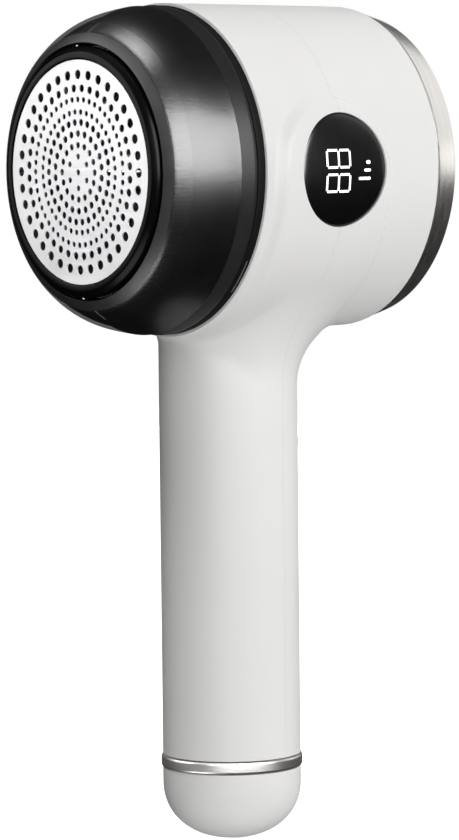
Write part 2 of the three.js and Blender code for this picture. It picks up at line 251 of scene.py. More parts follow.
def turned(name, corners, axis="Y", sides=128, steps=4, crease=35, start=(0, 0, 0)):
    """A turned piece: an outline of (radius, along, corner radius) in millimetres, once round the axis."""
    outline = rounded_outline([(a * 0.001, b * 0.001, c * 0.001) for a, b, c in corners], steps)
    count = len(outline)
    points, faces = [], []
    for i in range(sides):
        turn = 2 * math.pi * i / sides
        for radius, along in outline:
            if axis == "Y":
                points.append((radius * math.cos(turn), along, radius * math.sin(turn)))
            elif axis == "Z":
                points.append((radius * math.cos(turn), radius * math.sin(turn), along))
            else:
                points.append((along, radius * math.cos(turn), radius * math.sin(turn)))
        for k in range(count):
            a, b = i * count + k, i * count + (k + 1) % count
            c, d = ((i + 1) % sides) * count + (k + 1) % count, ((i + 1) % sides) * count + k
            faces.append((a, b, c, d))
    piece = new_piece(name, np.array(points) + np.array(start), faces)
    def close(work):
        bmesh.ops.remove_doubles(work, verts=work.verts[:], dist=2e-6)
        bmesh.ops.dissolve_degenerate(work, edges=work.edges[:], dist=1e-7)
        bmesh.ops.recalc_face_normals(work, faces=work.faces[:])
    edit(piece, close)
    smooth(piece, crease)
    return piece


def finish_for(name, colour, roughness, metallic=0.0, grain=900.0, depth=0.02, mottle=0.03, wear=0.06,
               stretch=(1, 1, 1), **surface):
    """A surface finish: a fine grain in the relief, a slow drift in colour and uneven polish."""
    material = bpy.data.materials.new(name)
    material.use_nodes = True
    tree = material.node_tree
    shader = tree.nodes["Principled BSDF"]
    shader.inputs["Metallic"].default_value = metallic
    for socket, value in surface.items():
        shader.inputs[socket.replace("_", " ")].default_value = value
    place = tree.nodes.new("ShaderNodeTexCoord")
    spread = tree.nodes.new("ShaderNodeMapping")
    spread.inputs["Scale"].default_value = stretch
    tree.links.new(place.outputs["Object"], spread.inputs["Vector"])
    def cloud(scale, detail):
        noise = tree.nodes.new("ShaderNodeTexNoise")
        noise.inputs["Scale"].default_value = scale
        noise.inputs["Detail"].default_value = detail
        tree.links.new(spread.outputs["Vector"], noise.inputs["Vector"])
        return noise.outputs["Fac"]
    tint = tree.nodes.new("ShaderNodeValToRGB")
    darker = tuple(max(c * (1 - mottle), 0) for c in colour)
    lighter = tuple(min(c * (1 + mottle), 1) for c in colour)
    tint.color_ramp.elements[0].position, tint.color_ramp.elements[1].position = 0.35, 0.65
    tint.color_ramp.elements[0].color = (*darker, 1)
    tint.color_ramp.elements[1].color = (*lighter, 1)
    tree.links.new(cloud(55, 3), tint.inputs["Fac"])
    tree.links.new(tint.outputs["Color"], shader.inputs["Base Color"])
    polish = tree.nodes.new("ShaderNodeMapRange")
    polish.inputs["From Min"].default_value, polish.inputs["From Max"].default_value = 0.3, 0.7
    polish.inputs["To Min"].default_value = max(roughness - wear / 2, 0.01)
    polish.inputs["To Max"].default_value = roughness + wear / 2
    tree.links.new(cloud(140, 4), polish.inputs["Value"])
    tree.links.new(polish.outputs["Result"], shader.inputs["Roughness"])
    relief = tree.nodes.new("ShaderNodeBump")
    relief.inputs["Strength"].default_value = depth
    relief.inputs["Distance"].default_value = 0.001
    tree.links.new(cloud(grain, 2), relief.inputs["Height"])
    tree.links.new(relief.outputs["Normal"], shader.inputs["Normal"])
    return material


def paint(piece, material):
    """Gives a piece one finish all over."""
    piece.data.materials.clear()
    piece.data.materials.append(material)


white_abs = finish_for(
    "white_abs", (0.80, 0.795, 0.78), 0.42, grain=2200, depth=0.015, mottle=0.006, wear=0.05,
    Specular_IOR_Level=0.12)
body_points, body_quads = skin(body_distance, (-0.0415, -0.0215, -0.1435), (0.0425, 0.0355, 0.0415), 0.0008)


def strap_edge():
    """The line of the strap's rear edge: a quarter circle past the display, then straight down."""
    path, corner_steps, straight_steps = [], 22, 64
    for k in range(-corner_steps, straight_steps):
        if k < 0:
            turn = math.radians(90 * k / -corner_steps)
            across, up = edge_groove_reach * math.cos(turn), edge_groove_reach * math.sin(turn)
            across = strap_centre + across
        else:
            up = -edge_groove_step * k
            flare = strap_flare * min(k / 30, 1)
            across = strap_centre + edge_groove_reach + flare
        path.append((math.sqrt((head_radius + 0.0001)**2 - up**2), across, up))
    return pull_to_skin(np.array(path), body_distance, 6)


def groove_tool(path, radius):
    """A thin round rod along a path, to cut a fine parting line with."""
    points, faces, around = [], [], 8
    for i, here in enumerate(path):
        along = Vector(path[min(i + 1, len(path) - 1)] - path[max(i - 1, 0)]).normalized()
        aside = along.cross(Vector((0, 1, 0))).normalized()
        lift = along.cross(aside)
        for k in range(around):
            turn = 2 * math.pi * k / around
            points.append(Vector(here) + radius * (aside * math.cos(turn) + lift * math.sin(turn)))
            if i < len(path) - 1:
                n = (k + 1) % around
                faces.append((i * around + k, i * around + n, (i + 1) * around + n, (i + 1) * around + k))
    faces.append(list(range(around)))
    faces.append([(len(path) - 1) * around + k for k in reversed(range(around))])
    rod = new_piece("groove_tool", points, faces)
    edit(rod, lambda work: bmesh.ops.recalc_face_normals(work, faces=work.faces[:]))
    return rod


for name, side in (("front_housing", -1), ("rear_housing", 1)):
    shell = new_piece(f"{name}_shell", body_points, body_quads, 60)
    keep_side(shell, (0, seam_place + side * seam_half_gap, 0), (0, -side, 0))
    keep_side(shell, (0, head_front, 0), (0, -1, 0))
    keep_side(shell, (0, head_rear, 0), (0, 1, 0))
    keep_side(shell, (0, 0, grip_end), (0, 0, -1))
    wall = shell.modifiers.new("wall", "SOLIDIFY")
    wall.thickness = shell_thickness
    wall.offset = -1
    wall.use_even_offset = True
    fix_shape(shell)
    pocket = turned("pocket", [
        (0, 30, 0), (lens_pocket_radius, 30, 0), (lens_pocket_radius, 44, 0), (0, 44, 0),
    ], axis="X", sides=144, start=(0, lens_centre, 0))
    carve(shell, pocket)
    if side > 0:
        carve(shell, groove_tool(strap_edge(), edge_groove_radius))
        carve(shell, turned("button_hole", [
            (0, 8, 0), (5.75, 8, 0), (5.75, 16.2, 0), (6.2, 16.9, 0), (6.2, 24, 0), (0, 24, 0),
        ], sides=96, start=(0, 0, button_height)))
    smooth(shell, 40)
    paint(shell, white_abs)
    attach(shell, "housing")
    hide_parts(name)


# Housing screws: pan-head self-tapping screws of bright steel that pull the two halves together from inside
# the bin bay. Their threads bite into bosses moulded on the front half.
bright_screw = finish_for(
    "bright_screw", (0.60, 0.61, 0.63), 0.28, metallic=1.0, grain=3000, depth=0.03, mottle=0.05, wear=0.12)


def machine_screw(name, replaced, body, centre, head, shank, thread, along):
    """A screw along Y, with its head and shank between the given places, a cross recess and a thread."""
    head_from, head_to = head
    outward = 1 if head_from > head_to else -1
    rise = abs(head_from - head_to)
    screw = turned(name, [
        (0, head_to, 0), (along, head_to, 0.05), (along, head_to + outward * rise * 0.55, 0.35),
        (along * 0.55, head_from, 0.5), (0, head_from, 0),
    ], sides=40, start=(centre[0], 0, centre[1]))
    for turn in (0, 90):
        bar = new_piece("bar", [], [])
        def cross(work):
            bmesh.ops.create_cube(work, size=1)
            bmesh.ops.scale(work, vec=(along * 1.15e-3, rise * 0.9e-3, along * 0.26e-3), verts=work.verts[:])
            bmesh.ops.rotate(work, matrix=Matrix.Rotation(math.radians(turn), 3, "Y"), verts=work.verts[:])
            bmesh.ops.translate(work, vec=(centre[0], head_from * 1e-3, centre[1]), verts=work.verts[:])
        edit(bar, cross)
        carve(screw, bar)
    smooth(screw, 30)
    paint(screw, bright_screw)
    low, high = sorted((shank[0], shank[1]))
    turns, around, root = int((high - low) / thread), 14, 0.74
    points, faces = [], []
    rows = turns * around
    for i in range(rows + 1):
        turn = 2 * math.pi * i / around
        y = low + (high - low) * i / rows
        crest = root + (1 - root) * min(1, i / around, (rows - i) / around)
        for offset, radius in ((-0.5, root), (-0.12, crest), (0.12, crest), (0.5, root)):
            radius *= shank[2] * 1e-3
            points.append((centre[0] + radius * math.cos(turn), (y + offset * thread) * 1e-3,
                           centre[1] + radius * math.sin(turn)))
        if i < rows:
            for k in range(3):
                faces.append((i * 4 + k, i * 4 + k + 1, i * 4 + k + 5, i * 4 + k + 4))
    thread_piece = new_piece(f"{name}_thread", points, faces, 30)
    core = turned("core", [
        (0, low - 0.4, 0), (shank[2] * 0.76, low, 0), (shank[2] * 0.76, head_to, 0), (0, head_to, 0)
    ], sides=24, start=(centre[0], 0, centre[1]))
    for part in (thread_piece, core):
        paint(part, bright_screw)
        part.parent = screw
    core.name = f"{name}_core"
    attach(screw, body)
    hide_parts(replaced)


for i, (x, z) in enumerate(((1, 1), (-1, 1), (1, -1), (-1, -1))):
    machine_screw(f"housing_screw_{i + 1}_steel", f"housing_screw_{i + 1}", "housing",
                  (x * 0.0242, z * 0.0242), (10.0, 8.35), (-6.4, 8.2, 1.2), 0.8, 2.1)


# Display: a gently domed disc of dark polished acrylic pressed into the strap, with white lit figures behind
# it. The figures are two seven-bar digits that lie on their side and three level bars.
lens_black = finish_for(
    "lens_black", (0.002, 0.002, 0.002), 0.24, grain=600, depth=0.004, mottle=0.02, wear=0.03)
lit_white = finish_for(
    "lit_white", (0.9, 0.9, 0.9), 0.4, grain=900, depth=0.0, mottle=0.01, wear=0.02,
    Emission_Color=(1, 1, 1, 1), Emission_Strength=1.0)


lens_radius = 0.0132
lens_dome = 0.0006
lens_below_strap = 0.0003


def on_lens(y, z, lift=0.0):
    """The point of the lens's face at that height and place across."""
    dome = lens_dome * (1 - (y**2 + z**2) / lens_radius**2)
    across = y + lens_centre
    sink = min(max((across - strap_sink_start) / strap_sink_length, 0), 1)
    face = strap_radius - strap_sink_depth * sink - lens_below_strap
    return (math.sqrt(face**2 - z**2) + dome + lift, across, z)


rings = [(r, 0.0) for r in np.linspace(0, 0.0126, 14)]
rings += [(0.0129, -0.00005), (0.0131, -0.00016), (lens_radius, -0.00035), (lens_radius, -0.0021)]
points, faces, around = [], [], 112
for r, lift in rings:
    for k in range(around):
        turn = 2 * math.pi * k / around
        points.append(on_lens(r * math.cos(turn), r * math.sin(turn), lift))
for i in range(len(rings) - 1):
    for k in range(around):
        n = (k + 1) % around
        faces.append((i * around + k, (i + 1) * around + k, (i + 1) * around + n, i * around + n))
faces.append([(len(rings) - 1) * around + k for k in range(around)])
lens = new_piece("display_disc", points, faces, 50)
edit(lens, lambda work: (
    bmesh.ops.remove_doubles(work, verts=work.verts[:], dist=1e-7),
    bmesh.ops.recalc_face_normals(work, faces=work.faces[:])))
paint(lens, lens_black)
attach(lens, "housing")
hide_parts("display_lens")

figure_points, figure_faces = [], []


def lit_bar(start, end, width, tip):
    """One lit bar from start to end (across, up) in millimetres; tip is "bevel" or "round"."""
    a, b = Vector(start), Vector(end)
    along = (b - a).normalized()
    across = Vector((-along.y, along.x)) * width / 2
    outline = []
    for centre, way in ((b, 1), (a, -1)):
        for k in range(9):
            turn = math.pi * k / 8
            if tip == "round":
                reach = along * (width / 2) * math.sin(turn)
                outline.append(centre + way * (across * math.cos(turn) + reach))
            elif k in (0, 8):
                outline.append(centre + way * (across * math.cos(turn) * 0.86))
            elif k in (2, 6):
                outline.append(centre + way * (across * math.cos(turn) + along * (width / 2) * 0.45))
    first, count = len(figure_points), len(outline)
    for lift in (0.00006, -0.0003):
        figure_points.extend(on_lens(p.x * 0.001, p.y * 0.001, lift) for p in outline)
    figure_faces.append([first + k for k in range(count)])
    figure_faces.append([first + count + k for k in reversed(range(count))])
    for k in range(count):
        n = (k + 1) % count
        figure_faces.append((first + k, first + count + k, first + count + n, first + n))


stroke, corner_gap, middle_gap = 0.64, 0.35, 0.5
left, middle, right = -5.95, -2.35, 1.2
for top, bottom in ((4.55, 0.6), (-1.1, -5.0)):
    for across in (left, middle, right):
        lit_bar((across, bottom + corner_gap), (across, top - corner_gap), stroke, "bevel")
    for up in (top, bottom):
        lit_bar((left + corner_gap, up), (middle - middle_gap, up), stroke, "bevel")
        lit_bar((middle + middle_gap, up), (right - corner_gap, up), stroke, "bevel")
lit_bar((6.95, 1.65), (7.45, 1.65), 0.85, "round")
lit_bar((6.15, -0.2), (7.65, -0.2), 0.68, "round")
lit_bar((4.35, -2.12), (7.6, -2.12), 0.68, "round")
figures = new_piece("display_figures", figure_points, figure_faces, 30)
edit(figures, lambda work: bmesh.ops.recalc_face_normals(work, faces=work.faces[:]))
paint(figures, lit_white)
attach(figures, "housing")


# Gasket and base ring: a soft black ring seals the white head against the dark grey stepped ring that carries
# the guard. The base ring is glass-filled nylon, smooth where the guard's skirt slides over it. A short grey
# line on the gasket is a painted highlight.
soft_black = finish_for(
    "soft_black", (0.006, 0.006, 0.006), 0.6, grain=1500, depth=0.05, mottle=0.08, wear=0.12,
    Specular_IOR_Level=0.04)
dark_nylon = finish_for(
    "dark_nylon", (0.018, 0.018, 0.019), 0.36, grain=1600, depth=0.03, mottle=0.05, wear=0.08,
    Specular_IOR_Level=0.12)
gasket = turned("gasket_ring", [
    (29.3, -21.45, 0.1), (38.75, -21.45, 0.35), (38.75, -19.35, 0.35), (29.3, -19.35, 0.1),
], sides=160)
paint(gasket, soft_black)
# A short grey strip laid on the gasket: a painted highlight.
gasket_highlight_grey = finish_for(
    "gasket_highlight_grey", (0.18, 0.18, 0.19), 0.5, grain=900, depth=0.02, mottle=0.05, wear=0.05)
line_radius, line_steps = 0.03882, 20
line_turns = [math.radians(-32 - 0.7 * k) for k in range(line_steps + 1)]
gasket_highlight_line = new_piece("gasket_highlight_line", [
    (line_radius * math.cos(turn), y, line_radius * math.sin(turn))
    for turn in line_turns for y in (-0.02055, -0.0203)
], [(2 * k, 2 * k + 1, 2 * k + 3, 2 * k + 2) for k in range(line_steps)])
paint(gasket_highlight_line, gasket_highlight_grey)
gasket_highlight_line.parent = gasket
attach(gasket, "housing")
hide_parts("guard_gasket")
base_ring = turned("base_ring", [
    (29.3, -27.6, 0.2), (36.4, -27.6, 0.3), (36.4, -26.05, 0.1), (37.95, -26.05, 0.2), (38.75, -22.6, 0.3),
    (38.8, -21.75, 0.3), (29.3, -21.75, 0.2),
], sides=160)
paint(base_ring, dark_nylon)
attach(base_ring, "housing")
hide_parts("guard_base_ring")


# Cutter chamber: a moulded cup behind the foil. Its floor has four windows that let the fan draw lint back.
grey_nylon = finish_for(
    "grey_nylon", (0.075, 0.076, 0.080), 0.45, grain=1200, depth=0.06, mottle=0.06, wear=0.1)
chamber = turned("chamber_cup", [
    (4.7, -26.0, 0.2), (24.8, -26.0, 0.8), (24.8, -36.9, 0.3), (26.0, -36.9, 0.3), (26.0, -24.4, 0.2),
    (27.4, -24.4, 0.2), (27.4, -17.7, 0.2), (26.3, -17.7, 0.2), (26.3, -22.9, 0.2), (24.6, -24.5, 0.2),
    (4.7, -24.5, 0.2),
], sides=144)
windows = []
for k in range(4):
    window = turned("window", [(9.2, -28, 0), (21.8, -28, 0), (21.8, -22, 0), (9.2, -22, 0)], sides=72)
    wedge = 26
    for turn, way in ((-wedge, -1), (wedge, 1)):
        angle = math.radians(90 * k + turn)
        keep_side(window, (0, 0, 0), (-math.sin(angle) * way, 0, math.cos(angle) * way))
    edit(window, lambda work: (
        bmesh.ops.holes_fill(work, edges=work.edges[:]),
        bmesh.ops.recalc_face_normals(work, faces=work.faces[:])))
    windows.append(window)
carve(chamber, *windows)
smooth(chamber, 35)
paint(chamber, grey_nylon)
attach(chamber, "housing")
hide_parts("cutter_chamber")


# Cutter: a grey moulded spider that floats on the shaft, with six thin spring-steel blades pressed into its
# arms. A small coil spring behind it holds the ground edges of the blades against the foil.
ground_steel = finish_for(
    "ground_steel", (0.66, 0.67, 0.69), 0.22, metallic=1.0, grain=260, depth=0.02, mottle=0.05, wear=0.1,
    stretch=(1, 14, 1))
spider = turned("cutter_spider", [
    (1.6, -34.7, 0.1), (5.6, -34.7, 0.5), (6.0, -37.0, 0.2), (6.0, -40.9, 0.9), (4.4, -41.5, 0.5),
    (1.6, -41.5, 0.2),
], sides=72)
joined = bmesh.new()
joined.from_mesh(spider.data)
for k in range(6):
    for side in (-1, 1):
        arm = bmesh.ops.create_cube(joined, size=1)["verts"]
        bmesh.ops.scale(joined, vec=(0.0182, 0.0035, 0.0011), verts=arm)
        for v in arm:
            if v.co.x > 0:
                v.co.z *= 0.75
                v.co.y += 0.0004 if v.co.y > 0 else 0
        bmesh.ops.translate(joined, vec=(0.0145, -0.0384, side * 0.0012), verts=arm)
        bmesh.ops.rotate(joined, matrix=Matrix.Rotation(math.radians(60 * k), 3, "Y"), verts=arm)
joined.to_mesh(spider.data)
joined.free()
trim = spider.modifiers.new("trim", "BEVEL")
trim.width = 0.00022
trim.segments = 2
trim.angle_limit = math.radians(50)
fix_shape(spider)
smooth(spider, 30)
paint(spider, grey_nylon)
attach(spider, "cutter")
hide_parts("cutter_hub")
for k in range(6):
    blade = new_piece(f"blade_{k + 1}", [], [])
    def grind(work):
        bmesh.ops.create_grid(work, x_segments=16, y_segments=5, size=0.5)
        for v in work.verts:
            out, up = v.co.x + 0.5, v.co.y + 0.5
            x = 0.0069 + out * 0.0175
            y = -0.0426 + up * (0.0046 - 0.0012 * out)
            lean = 0.0006 * (1 - up) ** 2 - 0.00025
            v.co = Vector((x, y, lean))
        bmesh.ops.rotate(work, matrix=Matrix.Rotation(math.radians(60 * k), 3, "Y"), verts=work.verts[:])
    edit(blade, grind)
    sheet = blade.modifiers.new("sheet", "SOLIDIFY")
    sheet.thickness = 0.0004
    sheet.offset = 0
    fix_shape(blade)
    smooth(blade, 30)
    paint(blade, ground_steel)
    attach(blade, "cutter")
    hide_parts(f"cutter_blade_{k + 1}")
points, faces = [], []
coils, around, wire = 4.5, 28, 0.00028
rows = int(coils * around)
for i in range(rows + 1):
    turn = 2 * math.pi * i / around
    y = -0.0341 + 0.0036 * i / rows
    for k in range(8):
        lean = 2 * math.pi * k / 8
        radius = 0.0029 + wire * math.cos(lean)
        points.append((radius * math.cos(turn), y + wire * math.sin(lean), radius * math.sin(turn)))
        if i < rows:
            n = (k + 1) % 8
            faces.append((i * 8 + k, (i + 1) * 8 + k, (i + 1) * 8 + n, i * 8 + n))
faces += [list(reversed(range(8))), [rows * 8 + k for k in range(8)]]
spring = new_piece("cutter_coil", points, faces, 40)
edit(spring, lambda work: bmesh.ops.recalc_face_normals(work, faces=work.faces[:]))
paint(spring, ground_steel)
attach(spring, "rotor")
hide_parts("cutter_spring")


# Foil: a thin etched stainless disc, slightly domed, with rings of round holes that are small near the middle
# and larger towards the rim. Its rim is gripped between the black frame and the ring behind it.
foil_steel = finish_for(
    "foil_steel", (0.80, 0.80, 0.81), 0.40, metallic=0.45, grain=1800, depth=0.04, mottle=0.03, wear=0.12)
foil_radius = 26.3
foil_dome = 0.0003
hole_rings = [
    (0, 1, 1.5), (3.7, 6, 1.5), (6.3, 16, 1.65), (9.0, 22, 1.75), (11.6, 30, 1.75), (14.0, 40, 1.45),
    (16.9, 48, 1.45), (19.5, 40, 1.95), (22.7, 36, 2.35),
]
plate = bpy.data.curves.new("foil_outline", "CURVE")
plate.dimensions = "2D"
plate.fill_mode = "BOTH"
plate.extrude = 0.00012
plate.bevel_depth = 0.00005
plate.bevel_resolution = 1


def outline_circle(x, z, radius, sides):
    """One round outline on the foil, in millimetres."""
    circle = plate.splines.new("POLY")
    circle.points.add(sides - 1)
    for k in range(sides):
        turn = 2 * math.pi * k / sides
        circle.points[k].co = (
            (x + radius * math.cos(turn)) * 0.001, (z + radius * math.sin(turn)) * 0.001, 0, 1)
    circle.use_cyclic_u = True


outline_circle(0, 0, foil_radius, 160)
for index, (ring_radius, count, size) in enumerate(hole_rings):
    for k in range(count):
        turn = 2 * math.pi * (k + 0.5 * (index % 2)) / count
        outline_circle(ring_radius * math.cos(turn), ring_radius * math.sin(turn), size / 2, 20)
pattern = bpy.data.objects.new("foil_pattern", plate)
bpy.context.scene.collection.objects.link(pattern)
bpy.context.view_layer.update()
foil_mesh = bpy.data.meshes.new_from_object(pattern.evaluated_get(bpy.context.evaluated_depsgraph_get()))
foil_mesh.transform(Matrix.Translation((0, -0.04355, 0)) @ Matrix.Rotation(math.pi / 2, 4, "X"))
for corner in foil_mesh.vertices:
    corner.co.y -= foil_dome * (1 - (corner.co.x**2 + corner.co.z**2) / 0.0263**2)
bpy.data.objects.remove(pattern)
foil = bpy.data.objects.new("foil_disc", foil_mesh)
bpy.context.scene.collection.objects.link(foil)
smooth(foil, 30)
paint(foil, foil_steel)
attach(foil, "foil_cartridge")
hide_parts("foil_screen")


# Foil frame and retainer: a gloss black ring of moulded plastic holds the foil's rim from the front, and a
# grey snap ring of nylon holds it from behind.
gloss_black = finish_for(
    "gloss_black", (0.002, 0.002, 0.002), 0.25, grain=1200, depth=0.01, mottle=0.05, wear=0.06,
    Specular_IOR_Level=0.06)
frame_ring = turned("foil_bezel", [
    (26.05, -43.75, 0.1), (26.5, -44.0, 0.3), (27.8, -44.0, 0.9), (29.3, -43.0, 0.9), (29.3, -41.3, 0.2),
    (27.5, -41.3, 0.1), (27.5, -37.4, 0.2), (26.8, -37.4, 0.1), (26.8, -43.35, 0.1), (26.35, -43.4, 0.05),
], sides=160)
paint(frame_ring, gloss_black)
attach(frame_ring, "foil_cartridge")
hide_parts("foil_frame")
retainer = turned("foil_snap_ring", [
    (25.4, -43.2, 0.2), (26.4, -43.2, 0.2), (26.4, -37.4, 0.2), (25.4, -37.4, 0.2),
], sides=128)
paint(retainer, grey_nylon)
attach(retainer, "foil_cartridge")
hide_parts("foil_retainer")


# Grip ring: the moulded ring inside the guard that is twisted to free the foil. Fine ribs run along its
# front for the fingers, painted light grey as a painted highlight, and its black flange bears on the base
# ring.
ribs, per_rib = 86, 10
rib_shape = [0, 0, 0, 0, 0.35, 1, 1, 0.35, 0, 0]
section = [
    (27.8, -40.9, 0), (28.35, -41.15, 0), (28.5, -40.9, 0.1), (28.5, -40.3, 0.75), (28.5, -39.6, 0.8),
    (28.5, -34.2, 0.8), (28.5, -33.4, 0.7), (28.5, -32.9, 0.1), (28.5, -29.6, 0), (29.3, -29.45, 0),
    (31.6, -29.4, 0), (31.9, -29.1, 0), (31.9, -28.1, 0), (31.6, -27.9, 0), (29.0, -27.9, 0),
    (29.0, -23.2, 0), (27.8, -23.2, 0),
]
points, faces = [], []
around, count = ribs * per_rib, len(section)
for i in range(around):
    turn = 2 * math.pi * i / around
    for radius, y, rise in section:
        radius = (radius + rise * rib_shape[i % per_rib]) * 0.001
        points.append((radius * math.cos(turn), y * 0.001, radius * math.sin(turn)))
    for k in range(count):
        n, j = (k + 1) % count, (i + 1) % around
        faces.append((i * count + k, i * count + n, j * count + n, j * count + k))
grip_ring = new_piece("ribbed_ring", points, faces, 32)
edit(grip_ring, lambda work: bmesh.ops.recalc_face_normals(work, faces=work.faces[:]))
# The ribbed front is painted light grey as a painted highlight on the ribs; the rest of the ring is black.
rib_highlight_grey = finish_for(
    "rib_highlight_grey", (0.46, 0.46, 0.47), 0.35, grain=1400, depth=0.03, mottle=0.06, wear=0.1)
paint(grip_ring, rib_highlight_grey)
grip_ring.data.materials.append(soft_black)
for face in grip_ring.data.polygons:
    if face.center.y > -0.0331 or math.hypot(face.center.x, face.center.z) < 0.0288:
        face.material_index = 1
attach(grip_ring, "grip_ring")
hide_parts("grip_ring")


# Guard: a clear smoked polycarbonate shell with a rounded shoulder. Its inner faces towards the rear are
# black as painted shade for the dark inside. It pushes on over the base ring and keeps the cutting face a set
# distance off the cloth.
smoked = finish_for(
    "smoked", (0.002, 0.002, 0.002), 0.31, grain=500, depth=0.001, mottle=0.02, wear=0.03,
    Alpha=0.70, IOR=1.67)
satin_rim = finish_for(
    "satin_rim", (0.020, 0.020, 0.021), 0.34, grain=1500, depth=0.03, mottle=0.04, wear=0.06)
wall_thickness = 0.8
shoulder = [
    (32.6, -41.0), (33.3, -40.3), (34.85, -38.2), (36.05, -36.0), (37.0, -33.6), (37.65, -31.2),
    (38.15, -28.8), (38.6, -26.35),
]
outer, inner = [], []
for k in range(len(shoulder) - 1):
    before, a, b, after = (Vector(shoulder[min(max(k + n, 0), len(shoulder) - 1)]) for n in (-1, 0, 1, 2))
    for step in range(4):
        t = step / 4
        outer.append(0.5 * (2 * a + (b - before) * t + (2 * before - 5 * a + 4 * b - after) * t**2
                            + (3 * a - before - 3 * b + after) * t**3))
outer.append(Vector(shoulder[-1]))
for k, point in enumerate(outer):
    way = (outer[min(k + 1, len(outer) - 1)] - outer[max(k - 1, 0)]).normalized()
    inner.append(point + Vector((-way.y, way.x)) * wall_thickness)
corners = [(29.75, -42.3, 0.15), (30.05, -42.55, 0.15), (32.3, -41.2, 0.2)]
corners += [(p.x, p.y, 0) for p in outer]
corners += [(p.x, p.y, 0) for p in reversed(inner[::3]) if p.y > -40.4]
corners += [(30.6, -40.75, 0.3), (29.75, -40.9, 0.15)]
guard = turned("guard_clear", corners, sides=192, steps=3)
paint(guard, smoked)
# Inner faces towards the rear take the soft black: painted shade inside the guard.
for finish in (satin_rim, gloss_black, soft_black):
    guard.data.materials.append(finish)
for face in guard.data.polygons:
    here = face.center
    if math.hypot(here.x, here.z) < 0.0302:
        face.material_index = 2
    elif here.y < -0.0411:
        face.material_index = 1
    elif here.y > -0.0370 and here.x * face.normal.x + here.z * face.normal.z < 0:
        face.material_index = 3
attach(guard, "guard")
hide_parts("guard_shell")


# Rear trim ring: spun aluminium with a fine circular brush, narrowing towards the back. It is pressed onto
# the rear end of the head and hides the edge of the shell.
brushed_trim = finish_for(
    "brushed_trim", (0.62, 0.60, 0.575), 0.30, metallic=1.0, grain=420, depth=0.04, mottle=0.04, wear=0.08,
    stretch=(1, 10, 1))
rear_ring = turned("rear_band", [
    (35.3, 33.45, 0.2), (38.3, 33.45, 0.08), (38.3, 34.4, 0.4), (36.6, 40.75, 0.5), (36.1, 40.9, 0.2),
    (35.3, 40.9, 0.2),
], sides=192)
paint(rear_ring, brushed_trim)
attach(rear_ring, "housing")
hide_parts("rear_trim_ring")


# Lint bin: a cup of undyed polypropylene with a white cap that closes the back of the head. The cap has a bar
# in a round hollow to pull it by, and slots that let air out through a woven filter. A soft ring seals it.
natural_pp = finish_for(
    "natural_pp", (0.62, 0.61, 0.57), 0.42, grain=900, depth=0.04, mottle=0.03, wear=0.1,
    Subsurface_Weight=0.1)
cup = turned("bin_bowl", [
    (33.1, 15.0, 0.3), (34.4, 15.0, 0.3), (34.4, 32.2, 0.6), (14, 32.2, 0.3), (14, 30.9, 0.3),
    (33.1, 30.9, 2.0),
], sides=144, steps=6)
paint(cup, natural_pp)
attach(cup, "lint_bin")
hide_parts("bin_cup")
cap = turned("bin_lid", [
    (0, 32.5, 0), (34.7, 32.5, 0.4), (34.7, 40.6, 0.8), (15.9, 40.6, 0.7), (14.9, 35.9, 0.9), (0, 35.9, 0),
], sides=160, steps=6)
cutters = []
for k in range(16):
    turn = math.radians(11.25 + 22.5 * k)
    slot_cutter = new_piece("slot_cutter", [], [])
    def slotted(work):
        bmesh.ops.create_cube(work, size=1)
        bmesh.ops.scale(work, vec=(0.0115, 0.012, 0.0017), verts=work.verts[:])
        upright = [e for e in work.edges if abs((e.verts[0].co - e.verts[1].co).y) > 0.005]
        bmesh.ops.bevel(work, geom=upright, offset=0.00082, segments=5, affect="EDGES", profile=0.5)
        bmesh.ops.translate(work, vec=(0.0250, 0.0402, 0), verts=work.verts[:])
        bmesh.ops.rotate(work, matrix=Matrix.Rotation(turn, 3, "Y"), verts=work.verts[:])
    edit(slot_cutter, slotted)
    cutters.append(slot_cutter)
carve(cap, *cutters)
smooth(cap, 35)
bar = new_piece("bin_pull_bar", [], [])
def shape_bar(work):
    bmesh.ops.create_cube(work, size=1)
    bmesh.ops.scale(work, vec=(0.0302, 0.0050, 0.0050), verts=work.verts[:])
    bmesh.ops.bevel(work, geom=work.edges[:], offset=0.0007, segments=4, affect="EDGES", profile=0.5)
    bmesh.ops.translate(work, vec=(0, 0.0381, 0), verts=work.verts[:])
edit(bar, shape_bar)
smooth(bar, 35)
paint(cap, white_abs)
paint(bar, white_abs)
bar.parent = cap
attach(cap, "lint_bin")
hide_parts("bin_cap")
filter_cloth = finish_for(
    "filter_cloth", (0.66, 0.66, 0.64), 0.9, grain=2400, depth=0.25, mottle=0.12, wear=0.1, Sheen_Weight=0.3)
thread_pitch, gauze_radius = 0.85, 16.6
points, faces = [], []
for way in (0, 1):
    for i in range(-19, 20):
        offset = i * thread_pitch
        reach = math.sqrt(max(gauze_radius**2 - offset**2, 0))
        if reach < 2:
            continue
        stretch_rows = max(int(reach * 2 / 0.42), 4)
        first = len(points)
        for row in range(stretch_rows + 1):
            along = -reach + 2 * reach * row / stretch_rows
            weave = 0.13 * math.cos(math.pi * (along / thread_pitch + i + way))
            for k in range(4):
                turn = math.pi / 4 + math.pi / 2 * k
                a, b = offset + 0.2 * math.cos(turn), 30.35 + weave + 0.14 * math.sin(turn)
                points.append(np.array((along, b, a) if way == 0 else (a, b, along)) * 0.001)
            if row < stretch_rows:
                for k in range(4):
                    n = (k + 1) % 4
                    j = first + row * 4
                    faces.append((j + k, j + 4 + k, j + 4 + n, j + n))
mesh_cloth = new_piece("bin_gauze", points, faces, 60)
edit(mesh_cloth, lambda work: bmesh.ops.recalc_face_normals(work, faces=work.faces[:]))
paint(mesh_cloth, filter_cloth)
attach(mesh_cloth, "lint_bin")
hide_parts("bin_filter")
